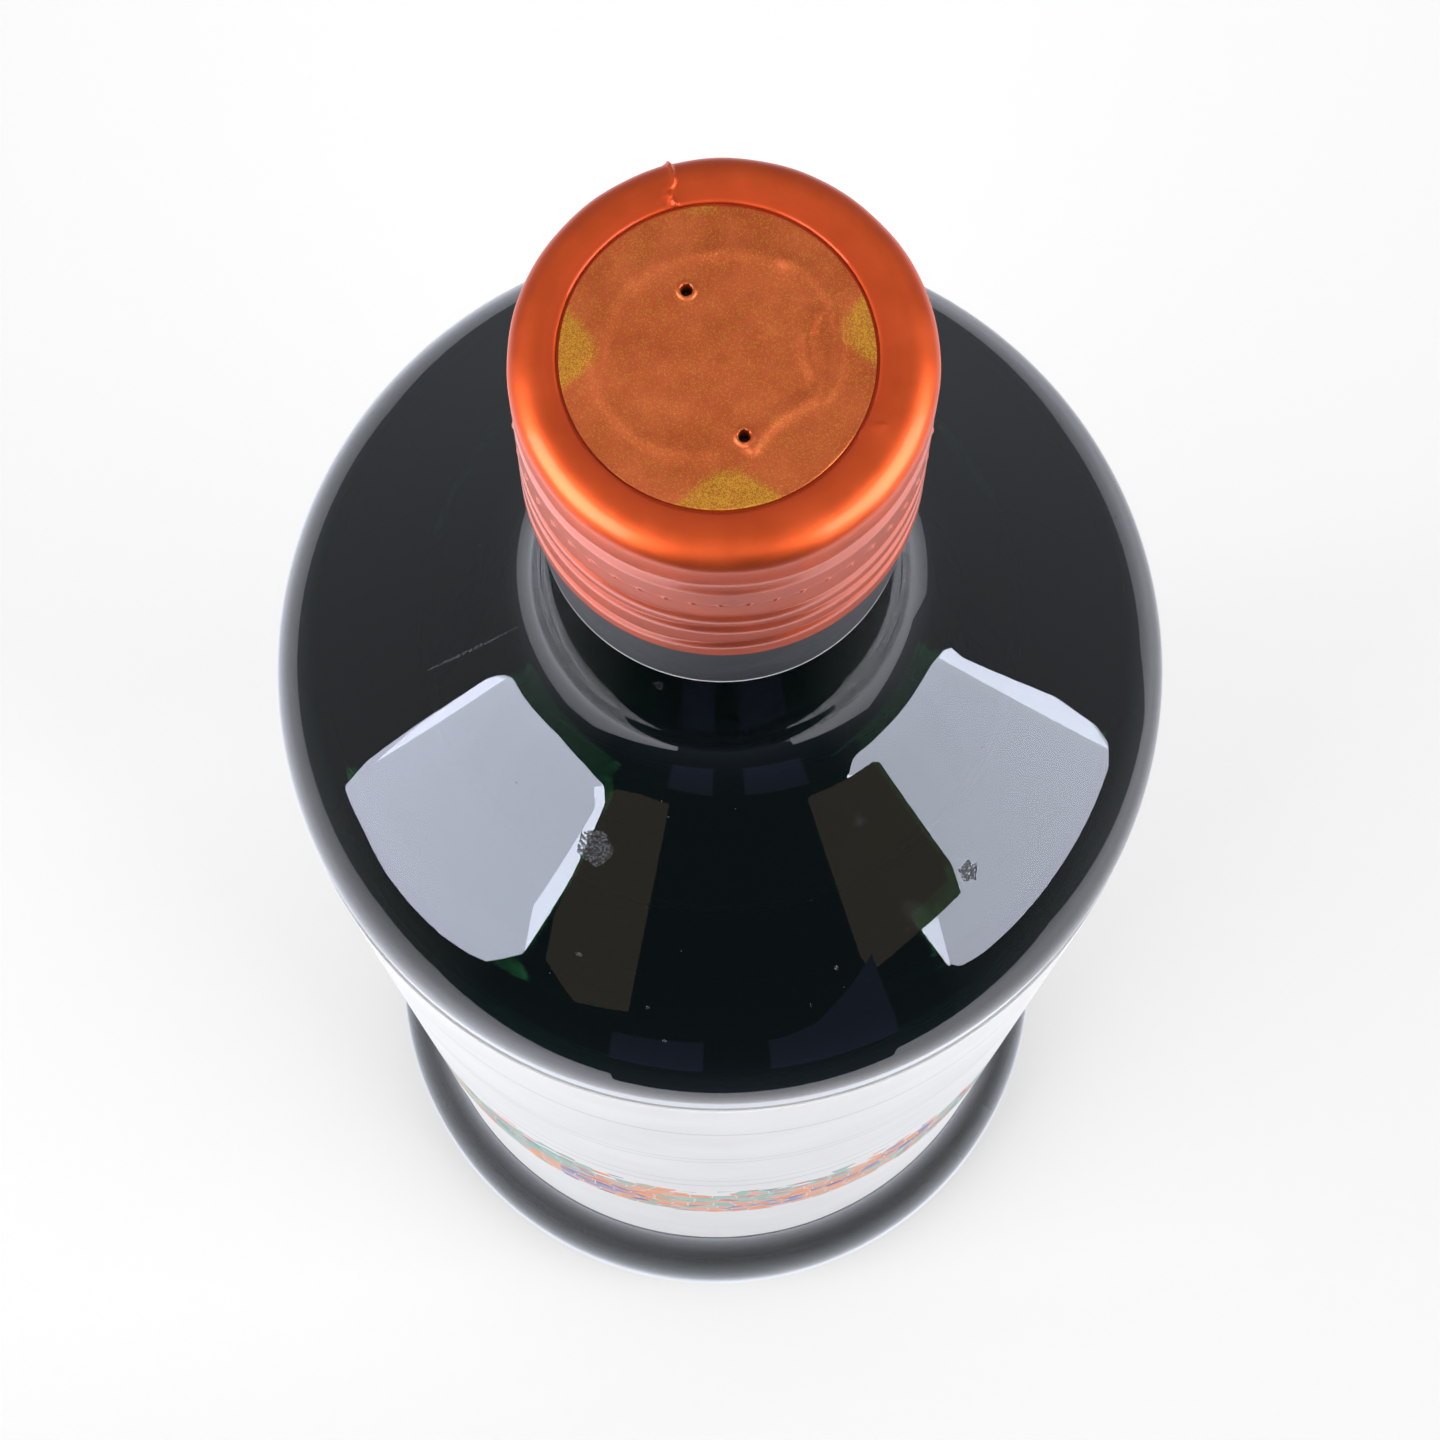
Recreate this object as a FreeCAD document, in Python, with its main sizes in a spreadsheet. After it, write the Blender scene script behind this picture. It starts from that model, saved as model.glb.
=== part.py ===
"""A full bottle of whisky: a dark glass bottle with a tapered body, its drink, a wrapped paper
label, a shrunk copper capsule over the neck, and the printed disc on the capsule's top.

Millimetres, +Z up, origin at the centre of the base. The label's middle faces -Y.
"""
import FreeCAD, Part
import math
import os
import re

import Sketcher

doc = FreeCAD.newDocument("WhiskyBottle")

# ---- driving dimensions -------------------------------------------------------------------
# Radii are measured from the bottle's axis and heights from the surface it stands on.

DIMENSIONS = {
    # glass, outside
    "bearing_radius": 32.0,       # inner edge of the ring that the bottle stands on
    "punt_rise": 4.0,             # how far the underside is pushed up at the axis
    "heel_radius": 5.0,           # rounding between the underside and the foot
    "foot_radius": 40.7,
    "foot_land": 7.0,             # top of the foot's upright part
    "panel_start": 20.0,          # where the foot's curve runs into the tapered panel
    "panel_taper": 2.07,          # degrees; the body widens upwards
    "shoulder_radius": 41.9,      # the widest ring
    "shoulder_height": 172.5,
    "edge_radius": 14.0,          # rounding from the panel over to the shoulder
    "slope_angle": 44.6,          # degrees from level
    "fillet_radius": 17.3,        # hollow between the shoulder and the neck
    "neck_radius": 14.9,
    "mouth_height": 251.0,
    # glass, inside
    "wall": 3.5,
    "floor_height": 8.0,
    "corner_radius": 8.0,
    "bore_radius": 9.6,
    "bore_height": 225.0,         # where the bore has come down to its own radius
    # drink
    "fill_height": 188.0,
    # paper label on the tapered panel
    "label_bottom": 20.4,
    "label_top": 167.0,
    "paper": 0.2,
    "label_wrap": 315.0,          # degrees round the body
    # capsule
    "hem_height": 228.4,          # lower cut edge of the capsule
    "hem_radius": 15.22,
    "border_radius": 15.8,        # dark border, just under the copper
    "copper_edge": 241.4,         # lower edge of the copper part
    "copper_radius": 16.18,
    "groove_depth": 0.35,
    "groove_half": 1.1,
    "groove_low": 244.6,
    "groove_middle": 249.1,
    "groove_high": 253.0,
    "band_top": 260.6,            # top of the flat, dotted band
    "waist_height": 262.2,        # soft hollow under the bead
    "bead_low": 264.6,
    "bead_radius": 16.2,
    "bead_round": 3.0,            # outer rounding of the bead
    "rim_round": 0.75,            # inner rounding of the bead, down to the disc
    "recess_floor": 268.1,        # what the disc lies on
    # printed disc
    "disc_radius": 11.83,
    "disc_thickness": 0.25,
    "disc_shift": -0.45,          # the disc lies off centre, towards -X
    "vent_radius": 0.42,
    "vent_depth": 1.2,
    "back_vent_across": -2.35,
    "back_vent_along": 5.3,
    "front_vent_across": 2.0,
    "front_vent_along": -6.2,
}

sheet = doc.addObject("Spreadsheet::Sheet", "Bottle")
for row, (alias, value) in enumerate(DIMENSIONS.items(), start=1):
    sheet.set(f"A{row}", alias)
    sheet.set(f"B{row}", str(value))
    sheet.setAlias(f"B{row}", alias)
doc.recompute()


# ---- sketches bound to the sheet ----------------------------------------------------------

def bound(formula):
    """Put the sheet's name before each of its aliases, so that a sketch can read them."""
    return re.sub(r"[a-z]+(?:_[a-z]+)+|wall|paper", lambda word: "Bottle." + word.group(), formula)


def number(formula):
    """The present value of a formula in the sheet's aliases."""
    return float(sheet.evalExpression(bound(formula)))


def new_body(label):
    body = doc.addObject("PartDesign::Body", label)
    body.Label = label
    return body


def new_sketch(body, name, role):
    """A sketch on one of the body's own origin planes."""
    sketch = body.newObject("Sketcher::SketchObject", name)
    plane = next(item for item in body.Origin.OriginFeatures if item.Role == role)
    sketch.AttachmentSupport = [(plane, "")]
    sketch.MapMode = "FlatFace"
    return sketch


def bind(sketch, kind, *places, formula):
    """Add a dimension and drive it by a formula. A nought is a point on an axis."""
    value = number(formula)
    index = sketch.addConstraint(Sketcher.Constraint(kind, *places, value))
    sketch.setExpression(f"Constraints[{index}]", bound(formula))


def arc_centre(start, end, radius, side):
    """Centre of the arc from start to end; side +1 has it on the left of the way along."""
    half = (end - start) * 0.5
    reach = math.sqrt(max(radius * radius - half.Length ** 2, 0.0))
    left = FreeCAD.Vector(-half.y, half.x, 0).normalize()
    return start + half + left * reach * side


def outline(sketch, corners):
    """A closed outline through the corners, each (across, up) or (across, up, radius, side).

    A corner with a radius is reached by an arc, and any other by a straight line. The
    corner points are held by their two distances from the origin.
    """
    spots = [FreeCAD.Vector(number(corner[0]), number(corner[1]), 0) for corner in corners]
    ends = []
    for index, corner in enumerate(corners):
        start, end = spots[index - 1], spots[index]
        if len(corner) == 2:
            edge = sketch.addGeometry(Part.LineSegment(start, end))
            ends.append((edge, 1, 2))
            continue
        radius, side = number(corner[2]), corner[3]
        centre = arc_centre(start, end, radius, side)
        first = math.atan2(start.y - centre.y, start.x - centre.x)
        last = math.atan2(end.y - centre.y, end.x - centre.x)
        circle = Part.Circle(centre, FreeCAD.Vector(0, 0, 1), radius)
        if side > 0:
            edge = sketch.addGeometry(Part.ArcOfCircle(circle, first, last))
            ends.append((edge, 1, 2))
        else:
            edge = sketch.addGeometry(Part.ArcOfCircle(circle, last, first))
            ends.append((edge, 2, 1))
        bind(sketch, "Radius", edge, formula=corner[2])
    for index, corner in enumerate(corners):
        edge, _, finish = ends[index]
        following, begin, _ = ends[(index + 1) % len(ends)]
        sketch.addConstraint(Sketcher.Constraint("Coincident", edge, finish, following, begin))
        bind(sketch, "DistanceX", -1, 1, edge, finish, formula=corner[0])
        bind(sketch, "DistanceY", -1, 1, edge, finish, formula=corner[1])


def revolve(body, sketch, name, angle=None):
    """Turn the outline about the bottle's axis, a whole turn or evenly about the sketch."""
    feature = body.newObject("PartDesign::Revolution", name)
    feature.Profile = sketch
    feature.ReferenceAxis = (sketch, ["V_Axis"])
    if angle:
        feature.Midplane = True
        feature.setExpression("Angle", bound(angle))
    sketch.Visibility = False
    return feature


# ---- places that several pieces share -----------------------------------------------------

CROWN_CENTRE = "(shoulder_radius - edge_radius)"
FILLET_ACROSS = "(neck_radius + fillet_radius)"
FILLET_UP = ("(shoulder_height + edge_radius * cos(slope_angle)"
             " + (shoulder_radius - edge_radius * (1 - sin(slope_angle)) - neck_radius"
             " - fillet_radius) * tan(slope_angle) + fillet_radius / cos(slope_angle))")


def panel_across(height, inward="0"):
    """Radius of the tapered panel at a height, on a surface that lies inward of the glass."""
    crown = f"({CROWN_CENTRE} + (edge_radius - {inward}) * cos(panel_taper))"
    drop = f"(shoulder_height - (edge_radius - {inward}) * sin(panel_taper) - ({height}))"
    return f"({crown} - {drop} * tan(panel_taper))"


def shoulder_corners(inward="0"):
    """Panel top, end of the edge rounding, and both ends of the hollow under the neck."""
    edge = f"(edge_radius - {inward})"
    hollow = f"(fillet_radius + {inward})"
    return [
        (f"{CROWN_CENTRE} + {edge} * cos(panel_taper)",
         f"shoulder_height - {edge} * sin(panel_taper)"),
        (f"{CROWN_CENTRE} + {edge} * sin(slope_angle)",
         f"shoulder_height + {edge} * cos(slope_angle)", edge, +1),
        (f"{FILLET_ACROSS} - {hollow} * sin(slope_angle)",
         f"{FILLET_UP} - {hollow} * cos(slope_angle)"),
        (f"{FILLET_ACROSS} - {hollow}", FILLET_UP, hollow, -1),
    ]


INNER_CORNER = "(floor_height + corner_radius)"
INNER_FLOOR = f"({panel_across(INNER_CORNER, 'wall')} - corner_radius)"
INNER_BASE = [
    ("0", "floor_height + punt_rise"),
    (INNER_FLOOR, "floor_height",
     f"({INNER_FLOOR} ^ 2 + punt_rise ^ 2) / (2 * punt_rise)", -1),
    (panel_across(INNER_CORNER, "wall"), INNER_CORNER, "corner_radius", +1),
]


def mirrored_back(corners):
    """The same corners walked the other way round, with each arc kept on its own stretch."""
    points = [corner[:2] for corner in corners][::-1]
    arcs = [corner[2:] for corner in corners][::-1]
    walked = [points[0]]
    for point, arc in zip(points[1:], arcs[:-1]):
        walked.append(point + ((arc[0], -arc[1]) if arc else ()))
    return walked


# ---- glass --------------------------------------------------------------------------------
# One blown piece: foot, tapered panel, shoulder and neck, with a pushed-up underside.

ogee_radius = (f"((foot_radius - {panel_across('panel_start')}) ^ 2"
               " + (panel_start - foot_land) ^ 2)"
               f" / (4 * (foot_radius - {panel_across('panel_start')}))")

glass = new_body("glass_bottle")
glass_sketch = new_sketch(glass, "GlassOutline", "XZ_Plane")
outside = [
    ("0", "punt_rise"),
    ("bearing_radius", "0", "(bearing_radius ^ 2 + punt_rise ^ 2) / (2 * punt_rise)", -1),
    ("foot_radius - heel_radius", "0"),
    ("foot_radius", "heel_radius", "heel_radius", +1),
    ("foot_radius", "foot_land"),
    (f"(foot_radius + {panel_across('panel_start')}) / 2", "(foot_land + panel_start) / 2",
     ogee_radius, +1),
    (panel_across("panel_start"), "panel_start", ogee_radius, -1),
    *shoulder_corners(),
    ("neck_radius", "mouth_height"),
]
inside = mirrored_back(INNER_BASE + shoulder_corners("wall")
                       + [("bore_radius", "bore_height"), ("bore_radius", "mouth_height")])
outline(glass_sketch, outside + inside)
revolve(glass, glass_sketch, "GlassTurn")

# ---- drink --------------------------------------------------------------------------------
# It fills the glass up to its level on the slope of the shoulder.

whisky = new_body("whisky")
whisky_sketch = new_sketch(whisky, "WhiskyOutline", "XZ_Plane")
level_across = (f"{CROWN_CENTRE} + (edge_radius - wall) * sin(slope_angle)"
                " - (fill_height - shoulder_height - (edge_radius - wall) * cos(slope_angle))"
                " / tan(slope_angle)")
outline(whisky_sketch, INNER_BASE + shoulder_corners("wall")[:2]
        + [(level_across, "fill_height"), ("0", "fill_height")])
revolve(whisky, whisky_sketch, "WhiskyTurn")

# ---- label --------------------------------------------------------------------------------
# Paper glued round the panel, with a gap of bare glass at the back.

label = new_body("label")
label_sketch = new_sketch(label, "LabelOutline", "YZ_Plane")
outline(label_sketch, [
    (f"-{panel_across('label_bottom')}", "label_bottom"),
    (f"-{panel_across('label_bottom')} - paper", "label_bottom"),
    (f"-{panel_across('label_top')} - paper", "label_top"),
    (f"-{panel_across('label_top')}", "label_top"),
])
revolve(label, label_sketch, "LabelTurn", angle="label_wrap")

# ---- capsule ------------------------------------------------------------------------------
# A shrunk sleeve, turned in over the top. It is solid above the glass mouth.


def groove_corners(height):
    """A notch round the skirt: lower lip, bottom and upper lip."""
    return [
        ("copper_radius", f"{height} - groove_half"),
        ("copper_radius - groove_depth", height),
        ("copper_radius", f"{height} + groove_half"),
    ]


capsule = new_body("capsule")
capsule_sketch = new_sketch(capsule, "CapsuleOutline", "XZ_Plane")
skirt = []
for groove in ("groove_low", "groove_middle", "groove_high"):
    skirt += groove_corners(groove)
bead_top = "(recess_floor + rim_round)"
outline(capsule_sketch, [
    ("0", "mouth_height"),
    ("neck_radius", "mouth_height"),
    ("neck_radius", "hem_height"),
    ("hem_radius", "hem_height"),
    ("border_radius", "copper_edge"),
    ("copper_radius", "copper_edge"),
    *skirt,
    ("copper_radius", "band_top"),
    ("copper_radius - groove_depth", "waist_height"),
    ("bead_radius", "bead_low"),
    ("bead_radius", f"{bead_top} - bead_round"),
    ("bead_radius - bead_round", bead_top, "bead_round", +1),
    ("bead_radius - bead_round - rim_round", "recess_floor", "rim_round", +1),
    ("0", "recess_floor"),
])
revolve(capsule, capsule_sketch, "CapsuleTurn")

# ---- disc and its two vents ---------------------------------------------------------------
# A thin printed disc lies on the turned-in skirt. The vents go on a little way below it.

VENTS = [("back_vent_across", "back_vent_along"), ("front_vent_across", "front_vent_along")]


def vent_circles(sketch, shift):
    for across, along in VENTS:
        middle = FreeCAD.Vector(number(f"{across} + {shift}"), number(along), 0)
        circle = Part.Circle(middle, FreeCAD.Vector(0, 0, 1), number("vent_radius"))
        index = sketch.addGeometry(circle)
        bind(sketch, "Radius", index, formula="vent_radius")
        bind(sketch, "DistanceX", -1, 1, index, 3, formula=f"{across} + {shift}")
        bind(sketch, "DistanceY", -1, 1, index, 3, formula=along)


vent_sketch = new_sketch(capsule, "VentOutline", "XY_Plane")
vent_sketch.setExpression("AttachmentOffset.Base.z", bound("recess_floor"))
vent_circles(vent_sketch, "disc_shift")
vents = capsule.newObject("PartDesign::Pocket", "Vents")
vents.Profile = vent_sketch
vents.Type = "Length"
vents.setExpression("Length", bound("vent_depth"))
vent_sketch.Visibility = False

disc = new_body("capsule_disc")
disc_sketch = new_sketch(disc, "DiscOutline", "XY_Plane")
disc_sketch.setExpression("AttachmentOffset.Base.z", bound("recess_floor"))
rim = disc_sketch.addGeometry(
    Part.Circle(FreeCAD.Vector(0, 0, 0), FreeCAD.Vector(0, 0, 1), number("disc_radius")))
disc_sketch.addConstraint(Sketcher.Constraint("Coincident", rim, 3, -1, 1))
bind(disc_sketch, "Radius", rim, formula="disc_radius")
vent_circles(disc_sketch, "0")
disc_pad = disc.newObject("PartDesign::Pad", "DiscPad")
disc_pad.Profile = disc_sketch
disc_pad.Type = "Length"
disc_pad.setExpression("Length", bound("disc_thickness"))
disc_sketch.Visibility = False
disc.setExpression("Placement.Base.x", bound("disc_shift"))

# ---- checks and files ---------------------------------------------------------------------

doc.recompute()
for item in doc.Objects:
    if "Invalid" in item.State or "Error" in item.State:
        raise RuntimeError(f"{item.Name} failed: {item.State}")

PIECES = [glass, whisky, label, capsule, disc]
for piece in PIECES:
    if piece.Shape.isNull() or not piece.Shape.isValid():
        raise RuntimeError(f"{piece.Label} has no valid shape")

os.makedirs("parts", exist_ok=True)
for piece in PIECES:
    piece.Shape.exportStep(f"parts/{piece.Label}.step")
    box = piece.Shape.BoundBox
    print(f"{piece.Label}: {piece.Shape.Volume / 1000:.1f} cm3, "
          f"radius {box.XMax:.2f}, from {box.ZMin:.2f} to {box.ZMax:.2f}")
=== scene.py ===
import math

import bpy
import numpy as np
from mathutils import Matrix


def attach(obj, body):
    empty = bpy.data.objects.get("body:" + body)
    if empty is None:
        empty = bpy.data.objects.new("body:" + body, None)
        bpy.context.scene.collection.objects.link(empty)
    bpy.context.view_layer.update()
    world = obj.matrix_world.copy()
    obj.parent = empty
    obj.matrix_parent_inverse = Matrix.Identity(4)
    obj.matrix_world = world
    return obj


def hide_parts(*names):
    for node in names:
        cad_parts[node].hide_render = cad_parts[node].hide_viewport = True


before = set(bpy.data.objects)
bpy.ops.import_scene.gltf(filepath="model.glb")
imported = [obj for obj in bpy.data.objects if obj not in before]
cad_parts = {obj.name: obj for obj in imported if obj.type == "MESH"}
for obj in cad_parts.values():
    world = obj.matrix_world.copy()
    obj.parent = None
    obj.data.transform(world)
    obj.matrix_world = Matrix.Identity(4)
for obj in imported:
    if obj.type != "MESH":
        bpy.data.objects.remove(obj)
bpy.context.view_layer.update()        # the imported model: five nodes on one body, "root"
scene = bpy.context.scene
MM = 0.001               # sizes of the pieces are written in millimetres

# ---------------------------------------------------------------------- the glass bottle
# One piece of mould-blown glass, of a green so dark that it looks black: a shallow punt, a foot
# with an ogee, a panel that tapers downwards, a rounded crown, a straight slope that eases into
# the hollow, and a neck that flares a little there. Everything else is put into it or on it.
wall = 3.5
punt_rise, bearing_radius, heel_radius = 4.0, 32.0, 5.0
foot_radius, foot_land, panel_start = 40.7, 7.0, 20.0
shoulder_radius, shoulder_height, panel_taper = 41.9, 172.5, 2.07
edge_radius, slope_angle = 14.0, 44.6
ease_start, ease_radius, ease_end = 22.2, 71.0, 42.0
hollow_radius, neck_flare = 14.0, 3.0
neck_radius, mouth_height = 14.9, 251.0
bore_radius, bore_end = 9.6, 225.0
floor_height, floor_rise, corner_radius, corner_height = 8.0, 4.0, 8.0, 16.0
glass_columns = 240


def arc(centre_radius, centre_height, radius, start, stop, count):
    """Points (radius, height) on a circle: its centre, plus its radius times the cosine and sine
    of an angle that goes evenly from start to stop, in degrees above level."""
    angle = np.radians(np.linspace(start, stop, count))
    return np.stack([centre_radius + radius * np.cos(angle),
                     centre_height + radius * np.sin(angle)], axis=1)


def run(start, stop, count):
    """Points (radius, height) evenly along the straight line from start to stop, both included."""
    share = np.linspace(0.0, 1.0, count)[:, None]
    return np.asarray(start) * (1.0 - share) + np.asarray(stop) * share


def chain(*stretches):
    """The stretches one after the other, with each point that repeats the last one left out."""
    line = np.concatenate(stretches)
    step = np.hypot(*np.diff(line, axis=0).T)
    return line[np.concatenate([[True], step > 1e-5])]


def panel_across(height, inset=0.0):
    """The panel's radius at a height: the crown's radius at its lower end, less the drop from
    there times the taper's tangent. inset moves the wall that far towards the axis."""
    taper = math.radians(panel_taper)
    across = edge_radius - inset
    start = shoulder_height - across * math.sin(taper)
    return (shoulder_radius - edge_radius + across * math.cos(taper)
            - (start - height) * math.tan(taper))


def beside(point, angle, distance):
    """The point that lies that far from another, in a direction so many degrees above level."""
    turn = math.radians(angle)
    return point[0] + distance * math.cos(turn), point[1] + distance * math.sin(turn)


slope_turn = 90.0 - slope_angle
crown_centre = (shoulder_radius - edge_radius, shoulder_height)
slope_top = beside(crown_centre, slope_turn, edge_radius)
ease_from = (ease_start, slope_top[1] + (slope_top[0] - ease_start)
             * math.tan(math.radians(slope_angle)))
ease_centre = beside(ease_from, slope_turn, ease_radius)
hollow_centre = beside(beside(ease_centre, ease_end, -ease_radius), ease_end, hollow_radius)
flare_foot = beside(hollow_centre, neck_flare, -hollow_radius)
flare_top = (neck_radius, flare_foot[1] + (flare_foot[0] - neck_radius)
             / math.tan(math.radians(neck_flare)))


def shoulder_line(inset=0.0):
    """The crown's arc, the straight slope, the long easing arc and the hollow into the neck, all
    moved inset towards the inside, which takes it off the crown's radius and adds it to theirs."""
    crown = arc(*crown_centre, edge_radius - inset, -panel_taper, slope_turn, 44)
    ease = arc(*ease_centre, -(ease_radius + inset), slope_turn, ease_end, 20)
    hollow = arc(*hollow_centre, -(hollow_radius + inset), ease_end, neck_flare, 40)
    return chain(crown, run(crown[-1], ease[0], 26), ease, hollow)


def floor_line(inset=0.0):
    """The inside floor from its middle out: a low dome, then a quarter turn up to the panel."""
    sink = wall - inset
    edge = panel_across(corner_height, wall) - corner_radius
    dome = (edge ** 2 + floor_rise ** 2) / (2.0 * floor_rise)
    lean = math.degrees(math.asin(edge / dome))
    middle = floor_height + floor_rise - sink
    return chain(arc(0.0, middle - dome, dome, 90.0, 90.0 - lean, 24),
                 arc(edge, corner_height, corner_radius + sink, -90.0, -panel_taper, 14))


punt_sphere = (bearing_radius ** 2 + punt_rise ** 2) / (2.0 * punt_rise)
punt_lean = math.degrees(math.asin(bearing_radius / punt_sphere))
ogee_drop = foot_radius - panel_across(panel_start)
ogee_rise = panel_start - foot_land
ogee_radius = (ogee_drop ** 2 + ogee_rise ** 2) / (4.0 * ogee_drop)
ogee_turn = math.degrees(math.asin(ogee_rise / 2.0 / ogee_radius))
outer_shoulder, inner_shoulder = shoulder_line(), shoulder_line(wall)
inner_floor = floor_line(wall)
outside = chain(
    arc(0.0, punt_rise - punt_sphere, punt_sphere, 90.0, 90.0 - punt_lean, 16),
    run((bearing_radius, 0.0), (foot_radius - heel_radius, 0.0), 4),
    arc(foot_radius - heel_radius, heel_radius, heel_radius, -90.0, 0.0, 14),
    run((foot_radius, heel_radius), (foot_radius, foot_land), 3),
    arc(foot_radius - ogee_radius, foot_land, ogee_radius, 0.0, ogee_turn, 12),
    arc(foot_radius - ogee_drop + ogee_radius, panel_start, -ogee_radius, ogee_turn, 0.0, 12),
    run((panel_across(panel_start), panel_start), outer_shoulder[0], 24),
    outer_shoulder,
    run(flare_foot, flare_top, 8),
    run(flare_top, (neck_radius, mouth_height), 10))
inside = chain(
    inner_floor,
    run(inner_floor[-1], inner_shoulder[0], 24),
    inner_shoulder,
    run(inner_shoulder[-1], (bore_radius, bore_end), 8),
    run((bore_radius, bore_end), (bore_radius, mouth_height), 6))


def turned(profile, azimuth):
    """A grid of points: each profile point (radius, height) carried round the axis through the
    azimuths, which count from the front, -Y, towards +X."""
    radius, height = profile[:, 0, None], profile[:, 1, None]
    return np.stack([radius * np.sin(azimuth), -radius * np.cos(azimuth),
                     height + 0.0 * azimuth], axis=2)


def lattice(rows, columns, rows_meet=False, columns_meet=True):
    """Four-sided faces between each point of a grid and its neighbours in the next column and the
    next row. Where rows or columns meet, the last one joins the first."""
    row, column = np.meshgrid(np.arange(rows if rows_meet else rows - 1),
                              np.arange(columns if columns_meet else columns - 1), indexing="ij")
    up, on = (row + 1) % rows, (column + 1) % columns
    return np.stack([row * columns + column, row * columns + on,
                     up * columns + on, up * columns + column], axis=2).reshape(-1, 4)


def poled(grid, low, high):
    """Points and faces of a closed turned surface: the grid's faces, and two fans of triangles
    that close its first ring at the pole low and its last ring at the pole high."""
    rows, columns = grid.shape[:2]
    ring = np.arange(columns)
    on, last = (ring + 1) % columns, (rows - 1) * columns
    poles = rows * columns + np.zeros((2, columns), int) + np.array([[0], [1]])
    points = np.concatenate([grid.reshape(-1, 3), [low, high]])
    faces = (lattice(rows, columns).tolist() + np.stack([poles[0], on, ring], axis=1).tolist()
             + np.stack([last + ring, last + on, poles[1]], axis=1).tolist())
    return points, faces


def make_piece(name, points, faces, material, sharp=40.0):
    """A mesh object at the origin from points in millimetres, smooth except where two faces turn
    by more than sharp degrees."""
    mesh = bpy.data.meshes.new(name)
    mesh.from_pydata((np.asarray(points) * MM).tolist(), [], faces)
    mesh.shade_smooth()
    mesh.set_sharp_from_angle(angle=math.radians(sharp))
    mesh.materials.append(material)
    piece = bpy.data.objects.new(name, mesh)
    scene.collection.objects.link(piece)
    return piece


def add_node(tree, kind, inputs=None, **settings):
    """A new node of that kind with its settings. Each input, by name or number, gets a value, or a
    link where a socket is given."""
    node = tree.nodes.new(kind)
    for setting, value in settings.items():
        setattr(node, setting, value)
    for socket, value in (inputs or {}).items():
        if isinstance(value, bpy.types.NodeSocket):
            tree.links.new(value, node.inputs[socket])
        else:
            node.inputs[socket].default_value = value
    return node


def new_material(name):
    """An empty material with nodes, as (material, its tree, its output node)."""
    material = bpy.data.materials.new(name)
    material.use_nodes = True
    material.node_tree.nodes.clear()
    return material, material.node_tree, add_node(material.node_tree, "ShaderNodeOutputMaterial")


def noise(tree, place, scale, detail=3.0, roughness=0.5):
    """Noise of that many waves to the metre."""
    return add_node(tree, "ShaderNodeTexNoise", {"Vector": place, "Scale": scale, "Detail": detail,
                                                 "Roughness": roughness}).outputs["Fac"]


def math_node(tree, operation, first, second=0.0, clamp=False):
    """One sum of two values."""
    return add_node(tree, "ShaderNodeMath", {0: first, 1: second}, operation=operation,
                    use_clamp=clamp).outputs[0]


def ranged(tree, value, low, high, to_low=0.0, to_high=1.0):
    """value, with low to high stretched evenly over to_low to to_high and cut off there."""
    return add_node(tree, "ShaderNodeMapRange", {"Value": value, "From Min": low, "From Max": high,
                                                 "To Min": to_low, "To Max": to_high}).outputs[0]


dark_glass, tree, output = new_material("dark_green_glass")
place = add_node(tree, "ShaderNodeTexCoord").outputs["Object"]
ripple = add_node(tree, "ShaderNodeBump", {
    "Height": noise(tree, place, 45.0, 1.0), "Strength": 1.0, "Distance": 0.00003})
smear = ranged(tree, noise(tree, place, 160.0, 4.0, 0.65), 0.52, 0.80, 0.0, 0.05)
glass_shader = add_node(tree, "ShaderNodeBsdfPrincipled", {
    "Base Color": (0.96, 1.0, 0.97, 1.0), "Transmission Weight": 1.0, "IOR": 1.52,
    "Metallic": 0.0, "Roughness": smear, "Normal": ripple.outputs["Normal"]})
glass_body = add_node(tree, "ShaderNodeVolumeAbsorption", {
    "Color": (0.33, 0.57, 0.42, 1.0), "Density": 1050.0})
tree.links.new(glass_shader.outputs[0], output.inputs["Surface"])
tree.links.new(glass_body.outputs[0], output.inputs["Volume"])

round_turn = np.linspace(0.0, 2.0 * math.pi, glass_columns, endpoint=False)
glass_profile = chain(outside[1:], inside[::-1][:-1])
glass_points, glass_faces = poled(turned(glass_profile, round_turn),
                                  (0.0, 0.0, outside[0, 1]), (0.0, 0.0, inside[0, 1]))
glass = make_piece("glass_bottle_skin", glass_points, glass_faces, dark_glass, sharp=50.0)
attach(glass, "root")
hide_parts("glass_bottle")

# ---------------------------------------------------------------------- the whisky
# The drink, up to its level on the slope of the shoulder. It is filled in through the neck. Its
# skin reaches a little way into the glass all round, and it climbs the wall slightly at its edge.
fill_height, into_wall = 188.0, 0.15
meniscus_rise, meniscus_width = 1.0, 1.6

drink_shoulder = shoulder_line(wall - into_wall)
drink_floor = floor_line(wall - into_wall)
below = drink_shoulder[drink_shoulder[:, 1] < fill_height]
level_radius = np.interp(fill_height, drink_shoulder[:, 1], drink_shoulder[:, 0])
rise_radius = np.interp(fill_height + meniscus_rise, drink_shoulder[:, 1], drink_shoulder[:, 0])
share = np.linspace(0.0, 1.0, 12)
meniscus = np.stack([rise_radius - meniscus_width * share,
                     fill_height + meniscus_rise * (1.0 - share) ** 3], axis=1)
drink_profile = chain(
    drink_floor[1:], run(drink_floor[-1], drink_shoulder[0], 24), below,
    [(level_radius, fill_height)], meniscus,
    run(meniscus[-1], (2.0, fill_height), 8))

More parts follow.
